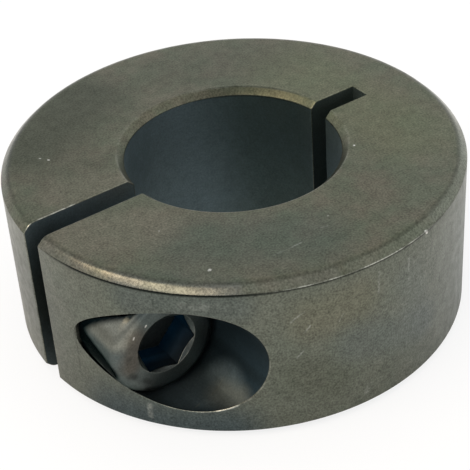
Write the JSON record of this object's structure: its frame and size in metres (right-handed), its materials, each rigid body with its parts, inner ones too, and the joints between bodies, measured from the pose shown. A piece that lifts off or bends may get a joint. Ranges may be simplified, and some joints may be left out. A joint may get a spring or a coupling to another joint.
{
  "type": "clamping ring",
  "caption": "Black-oxided steel split clamping ring with a relief slot opposite the slit and a socket head cap screw in a rim pocket, which closes the bore on a round shaft.",
  "frame": {"origin": "on the bore's axis, at the ring's lower end face", "axes": "+Z along the bore towards the upper end face; the slit points along -X, the relief slot along +X, and the screw lies along Y with its head towards -Y"},
  "size_m": [0.034, 0.034, 0.013],
  "materials": {
    "ring_black_oxide": "turned steel, black oxide, satin and slightly mottled",
    "screw_black_oxide": "cold-headed steel, black oxide, satin"
  },
  "bodies": {
    "ring": {"ring_body": "ring_black_oxide"},
    "screw": {"clamp_screw": "screw_black_oxide"}
  },
  "joints": [
    {"name": "screw_turn", "type": "hinge", "parent": "ring", "child": "screw", "pos_m": [-0.0123, -0.00395, 0.0065], "axis": [0, -1, 0], "range_deg": [-90, 360]}
  ]
}
